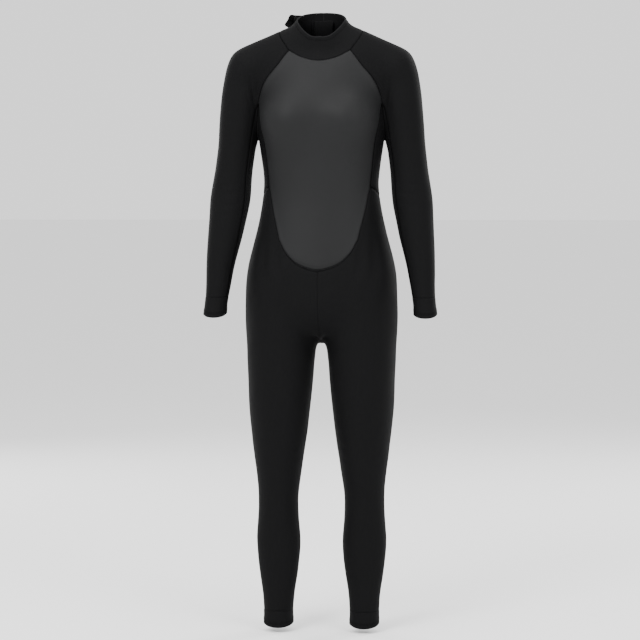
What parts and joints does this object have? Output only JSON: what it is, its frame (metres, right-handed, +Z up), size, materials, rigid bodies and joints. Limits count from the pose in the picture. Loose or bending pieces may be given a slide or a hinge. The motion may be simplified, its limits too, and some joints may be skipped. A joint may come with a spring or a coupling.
{
  "type": "full wetsuit",
  "caption": "Full-length neoprene wetsuit with long sleeves and legs, a mock-turtle collar, a smooth chest panel, raglan sleeves and a back zip.",
  "frame": {"origin": "the point between the shoulders, inside the neck, where a hanger's hook leaves the collar; 1.352 m above the lowest edge of the ankle hems", "axes": "+Z up, -Y out of the suit's front, +X to the wearer's left"},
  "size_m": [0.5348, 0.2428, 1.414],
  "materials": {
    "jersey": "matt knitted nylon over foam neoprene",
    "skin": "smooth semi-matt rubber skin over foam neoprene",
    "tape": "woven zip tape",
    "teeth": "moulded acetal",
    "metal": "satin nickel-plated metal",
    "hook_loop": "hook-and-loop fastener"
  },
  "bodies": {
    "suit": {"chest_panel": "skin", "collar": "jersey", "wind_flap": "jersey", "loop_pad": "hook_loop", "bottom_stop": "teeth", "left_back_panel": "jersey", "left_side_panel": "jersey", "left_sleeve": "jersey", "left_underarm": "jersey", "left_elbow_outer": "jersey", "left_elbow_inner": "jersey", "left_front_leg": "jersey", "left_seat_leg": "jersey", "left_knee_front": "jersey", "left_knee_back": "jersey", "left_zip_tape": "tape", "left_zip_teeth": "teeth", "left_top_stop": "teeth", "right_back_panel": "jersey", "right_side_panel": "jersey", "right_sleeve": "jersey", "right_underarm": "jersey", "right_elbow_outer": "jersey", "right_elbow_inner": "jersey", "right_front_leg": "jersey", "right_seat_leg": "jersey", "right_knee_front": "jersey", "right_knee_back": "jersey", "right_zip_tape": "tape", "right_zip_teeth": "teeth", "right_top_stop": "teeth"},
    "zip_slider_body": {"zip_slider": "metal"},
    "pull_tab_body": {"pull_tab": "metal"},
    "neck_tab_body": {"neck_tab": "jersey", "hook_pad": "hook_loop"},
    "left_forearm": {"left_forearm_outer": "jersey", "left_forearm_inner": "jersey", "left_wrist_cuff": "jersey"},
    "left_shin": {"left_shin_front": "jersey", "left_calf_back": "jersey", "left_ankle_cuff": "jersey"},
    "right_forearm": {"right_forearm_outer": "jersey", "right_forearm_inner": "jersey", "right_wrist_cuff": "jersey"},
    "right_shin": {"right_shin_front": "jersey", "right_calf_back": "jersey", "right_ankle_cuff": "jersey"}
  },
  "joints": [
    {"name": "back_zip", "type": "slide", "parent": "suit", "child": "zip_slider_body", "axis": [0, 0.0274, -0.9996], "range_m": [0, 0.39]},
    {"name": "pull_tab_swing", "type": "hinge", "parent": "zip_slider_body", "child": "pull_tab_body", "pos_m": [0, 0.07639, -0.02694], "axis": [1, 0, 0], "range_deg": [0, 165]},
    {"name": "neck_tab_peel", "type": "hinge", "parent": "suit", "child": "neck_tab_body", "pos_m": [0.0131, 0.0604, 0.0425], "axis": [0, 0.0995, -0.995], "range_deg": [0, 95], "stiffness_Nm_per_rad": 0.03},
    {"name": "left_elbow", "type": "hinge", "parent": "suit", "child": "left_forearm", "pos_m": [0.2095, -0.007, -0.368], "axis": [-0.9929, 0, -0.1187], "range_deg": [0, 100], "stiffness_Nm_per_rad": 1, "deforming": ["left_elbow_outer", "left_elbow_inner"]},
    {"name": "right_elbow", "type": "hinge", "parent": "suit", "child": "right_forearm", "pos_m": [-0.2095, -0.007, -0.368], "axis": [-0.9929, 0, 0.1187], "range_deg": [0, 100], "stiffness_Nm_per_rad": 1, "deforming": ["right_elbow_outer", "right_elbow_inner"]},
    {"name": "left_knee", "type": "hinge", "parent": "suit", "child": "left_shin", "pos_m": [0.0985, 0, -1.002], "axis": [1, 0, 0], "range_deg": [0, 95], "stiffness_Nm_per_rad": 1.5, "deforming": ["left_knee_front", "left_knee_back"]},
    {"name": "right_knee", "type": "hinge", "parent": "suit", "child": "right_shin", "pos_m": [-0.0985, 0, -1.002], "axis": [1, 0, 0], "range_deg": [0, 95], "stiffness_Nm_per_rad": 1.5, "deforming": ["right_knee_front", "right_knee_back"]}
  ]
}
